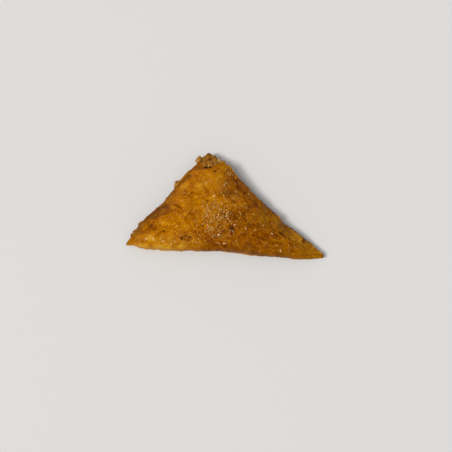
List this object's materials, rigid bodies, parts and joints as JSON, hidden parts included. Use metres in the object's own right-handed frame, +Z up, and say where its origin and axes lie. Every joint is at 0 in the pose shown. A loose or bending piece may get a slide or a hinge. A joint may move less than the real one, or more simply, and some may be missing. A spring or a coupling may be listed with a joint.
{
  "type": "baklava piece",
  "caption": "Baked phyllo triangle: a square stack of thin sheets folded over chopped nuts, flat below, mounded on top, with layered open edges and nuts showing at the open corner.",
  "frame": {"origin": "centre of the bounding box in X and Y, on the table under the pastry", "axes": "+X along the folded long side, +Y from the fold towards the open corner, +Z up"},
  "size_m": [0.1436, 0.0782, 0.0198],
  "materials": {
    "phyllo": "baked golden brown, syrup-glazed satin",
    "filling": "chopped nuts bound with syrup, dull"
  },
  "bodies": {
    "root": {"phyllo": "phyllo", "filling": "filling"}
  },
  "joints": []
}
